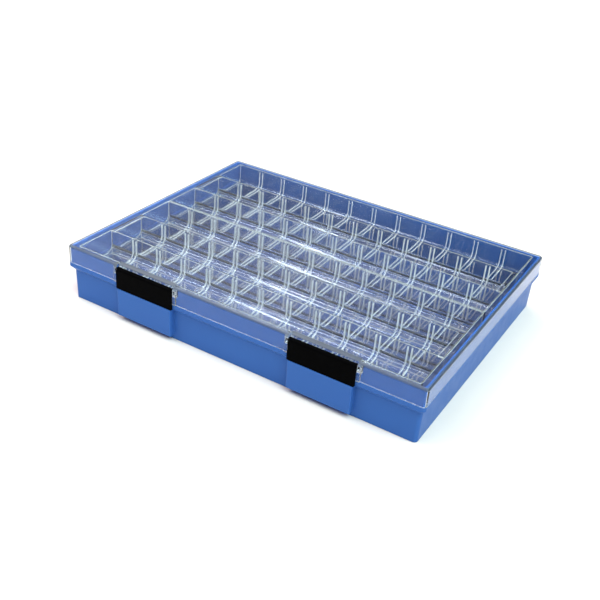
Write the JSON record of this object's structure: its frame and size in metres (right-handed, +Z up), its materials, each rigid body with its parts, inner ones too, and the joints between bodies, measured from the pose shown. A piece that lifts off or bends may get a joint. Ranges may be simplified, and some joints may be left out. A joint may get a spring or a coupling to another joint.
{
  "type": "parts case",
  "caption": "Flat storage case with a blue tub, a clear lid hinged at the back and held by black front latches, and stacked layers of clear trays with long slotted rows.",
  "frame": {"origin": "centre of the underside of the tub, on the surface that it stands on", "axes": "+X along the case to the right seen from the front, +Y from the latches to the hinges, +Z up"},
  "size_m": [0.436, 0.3333, 0.067],
  "materials": {
    "tub": "satin moulded polypropylene",
    "lid": "clear moulded polystyrene",
    "tray": "clear moulded polystyrene",
    "latch": "satin moulded ABS",
    "pin": "drawn wire"
  },
  "bodies": {
    "base": {"base": "tub", "hinge_pin_left": "pin", "hinge_pin_right": "pin", "tray_lower_front": "tray", "tray_lower_back": "tray", "tray_upper_front": "tray", "tray_upper_back": "tray"},
    "lid": {"lid": "lid"},
    "latch_left": {"latch_left": "latch"},
    "latch_right": {"latch_right": "latch"}
  },
  "joints": [
    {"name": "lid_hinge", "type": "hinge", "parent": "base", "child": "lid", "pos_m": [0, 0.1652, 0.044], "axis": [-1, 0, 0], "range_deg": [0, 110]},
    {"name": "latch_left_hinge", "type": "hinge", "parent": "lid", "child": "latch_left", "pos_m": [-0.1086, -0.1609, 0.0606], "axis": [-1, 0, 0], "range_deg": [0, 165]},
    {"name": "latch_right_hinge", "type": "hinge", "parent": "lid", "child": "latch_right", "pos_m": [0.1086, -0.1609, 0.0606], "axis": [-1, 0, 0], "range_deg": [0, 165]}
  ]
}
